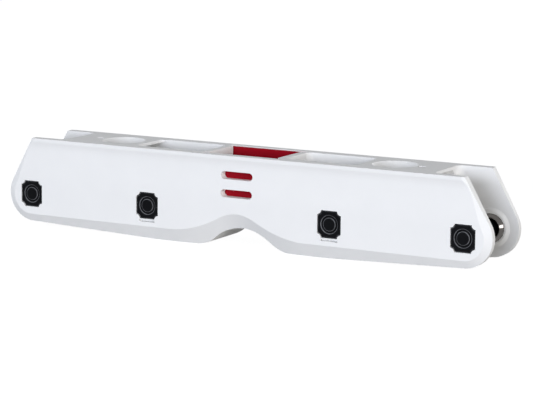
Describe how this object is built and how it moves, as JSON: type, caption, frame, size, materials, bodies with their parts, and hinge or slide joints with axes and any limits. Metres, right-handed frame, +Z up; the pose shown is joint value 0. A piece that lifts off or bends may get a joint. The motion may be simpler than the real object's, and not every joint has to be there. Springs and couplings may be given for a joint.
{
  "type": "inline skate frame",
  "caption": "Aggressive inline skate frame: moulded rail with an arched grind groove, lift-out centre insert, keyed axles and pressed-in wheel bushings.",
  "frame": {"origin": "under the middle of the frame, at the height of its lowest edge", "axes": "+X along the frame, +Y across it from the axle heads towards the axle screws, +Z up to the deck"},
  "size_m": [0.2908, 0.041, 0.0495],
  "materials": {
    "white_nylon": "satin moulded glass-filled nylon",
    "red_nylon": "satin moulded nylon",
    "black_steel": "black oxide steel",
    "bright_steel": "turned and polished steel"
  },
  "bodies": {
    "frame": {"frame_body": "white_nylon", "near_bushing_1": "bright_steel", "near_bushing_2": "bright_steel", "near_bushing_3": "bright_steel", "near_bushing_4": "bright_steel", "far_bushing_1": "bright_steel", "far_bushing_2": "bright_steel", "far_bushing_3": "bright_steel", "far_bushing_4": "bright_steel"},
    "insert": {"centre_insert": "red_nylon"},
    "axle_1": {"axle_1": "black_steel"},
    "axle_2": {"axle_2": "black_steel"},
    "axle_3": {"axle_3": "black_steel"},
    "axle_4": {"axle_4": "black_steel"},
    "axle_screw_1": {"axle_screw_1": "black_steel"},
    "axle_screw_2": {"axle_screw_2": "black_steel"},
    "axle_screw_3": {"axle_screw_3": "black_steel"},
    "axle_screw_4": {"axle_screw_4": "black_steel"}
  },
  "joints": [
    {"name": "insert_lift", "type": "slide", "parent": "frame", "child": "insert", "axis": [0, 0, 1], "range_m": [0, 0.04]},
    {"name": "axle_1_slide", "type": "slide", "parent": "frame", "child": "axle_1", "axis": [0, -1, 0], "range_m": [0, 0.045]},
    {"name": "axle_2_slide", "type": "slide", "parent": "frame", "child": "axle_2", "axis": [0, -1, 0], "range_m": [0, 0.045]},
    {"name": "axle_3_slide", "type": "slide", "parent": "frame", "child": "axle_3", "axis": [0, -1, 0], "range_m": [0, 0.045]},
    {"name": "axle_4_slide", "type": "slide", "parent": "frame", "child": "axle_4", "axis": [0, -1, 0], "range_m": [0, 0.045]},
    {"name": "axle_screw_1_slide", "type": "slide", "parent": "frame", "child": "axle_screw_1", "axis": [0, 1, 0], "range_m": [0, 0.02]},
    {"name": "axle_screw_2_slide", "type": "slide", "parent": "frame", "child": "axle_screw_2", "axis": [0, 1, 0], "range_m": [0, 0.02]},
    {"name": "axle_screw_3_slide", "type": "slide", "parent": "frame", "child": "axle_screw_3", "axis": [0, 1, 0], "range_m": [0, 0.02]},
    {"name": "axle_screw_4_slide", "type": "slide", "parent": "frame", "child": "axle_screw_4", "axis": [0, 1, 0], "range_m": [0, 0.02]}
  ]
}
